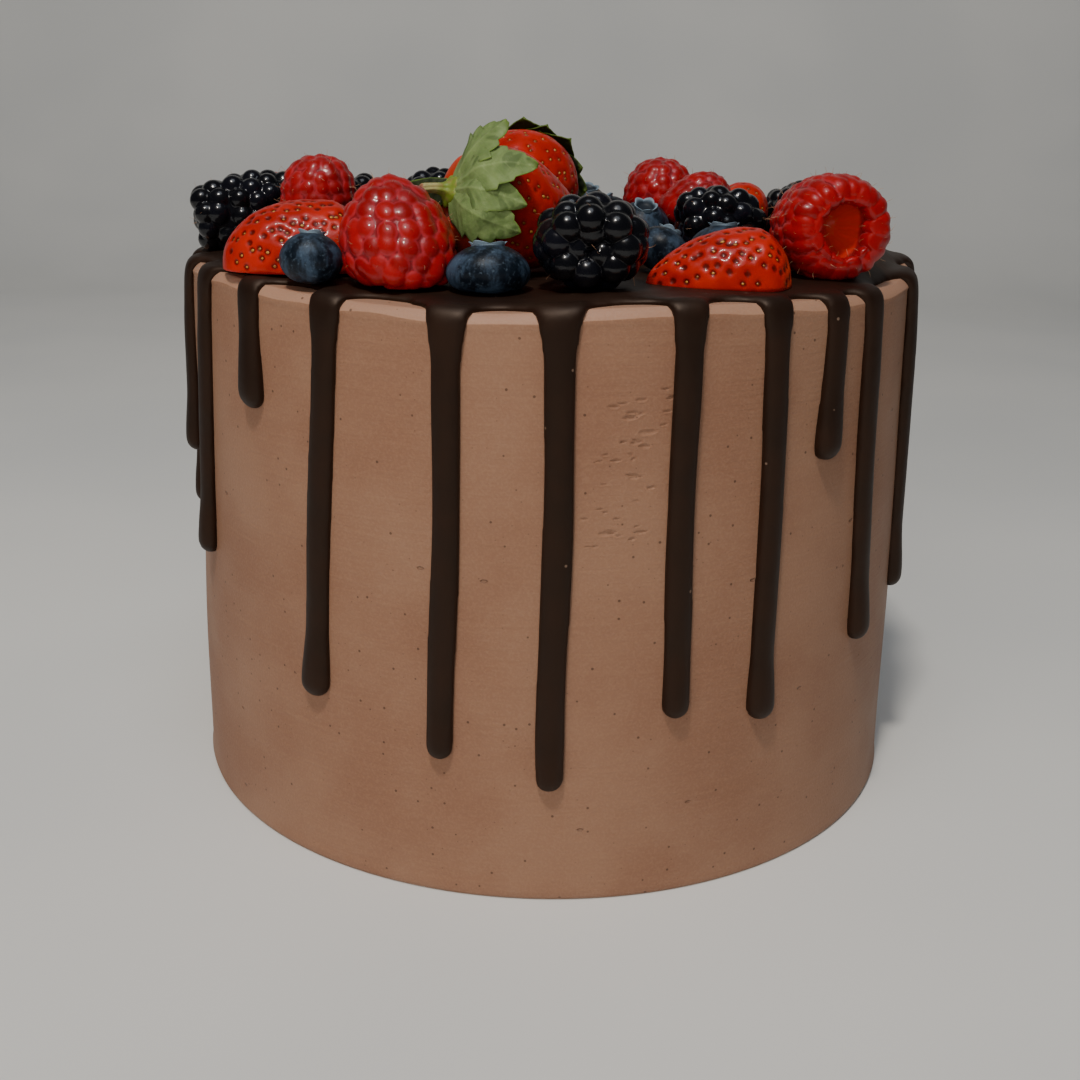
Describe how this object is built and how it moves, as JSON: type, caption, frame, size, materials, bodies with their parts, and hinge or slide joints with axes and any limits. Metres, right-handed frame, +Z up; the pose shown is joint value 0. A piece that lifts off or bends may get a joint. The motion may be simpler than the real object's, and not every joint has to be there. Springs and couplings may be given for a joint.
{
  "type": "chocolate layer cake with ganache drip and berries",
  "caption": "Tall round cake in chocolate buttercream, dark ganache poured over the top and dripping down its side, heaped with whole and halved fresh berries.",
  "frame": {"origin": "centre of the cake's flat foot, on the surface it stands on", "axes": "+Z up through the middle of the cake, -Y towards the side the picture shows, +X to that side's right"},
  "size_m": [0.1713, 0.1721, 0.1515],
  "materials": {
    "buttercream": "matt chocolate buttercream scraped smooth, warm mid-brown with dark cocoa specks and small air pits",
    "ganache": "satin near-black brown chocolate ganache",
    "raspberry": "crimson drupelets, a little translucent, with fine hairs and a faint bloom",
    "bramble": "glossy blue-black drupelets, a few of them red-brown",
    "blueberry": "slate-blue skin with a pale waxy bloom",
    "strawberry": "wet orange-red flesh with golden seeds in small dimples",
    "leaf": "grey-green veined leaf, with a pale cut stem"
  },
  "bodies": {
    "root": {"cake": "buttercream", "ganache": "ganache", "raspberry_1": "raspberry", "raspberry_2": "raspberry", "raspberry_3": "raspberry", "raspberry_4": "raspberry", "raspberry_5": "raspberry", "raspberry_6": "raspberry", "raspberry_7": "raspberry", "bramble_1": "bramble", "bramble_2": "bramble", "bramble_3": "bramble", "bramble_4": "bramble", "bramble_5": "bramble", "bramble_6": "bramble", "bramble_7": "bramble", "bramble_8": "bramble", "blueberry_1": "blueberry", "blueberry_2": "blueberry", "blueberry_3": "blueberry", "blueberry_4": "blueberry", "blueberry_5": "blueberry", "blueberry_6": "blueberry", "blueberry_7": "blueberry", "blueberry_8": "blueberry", "blueberry_9": "blueberry", "blueberry_10": "blueberry", "blueberry_11": "blueberry", "blueberry_12": "blueberry", "blueberry_13": "blueberry", "blueberry_14": "blueberry", "blueberry_15": "blueberry", "strawberry_1": "strawberry", "strawberry_2": "strawberry", "strawberry_3": "strawberry", "strawberry_4": "strawberry", "strawberry_1_calyx": "leaf", "strawberry_2_calyx": "leaf", "strawberry_half_1": "strawberry", "strawberry_half_2": "strawberry", "strawberry_half_3": "strawberry", "strawberry_half_4": "strawberry"}
  },
  "joints": []
}
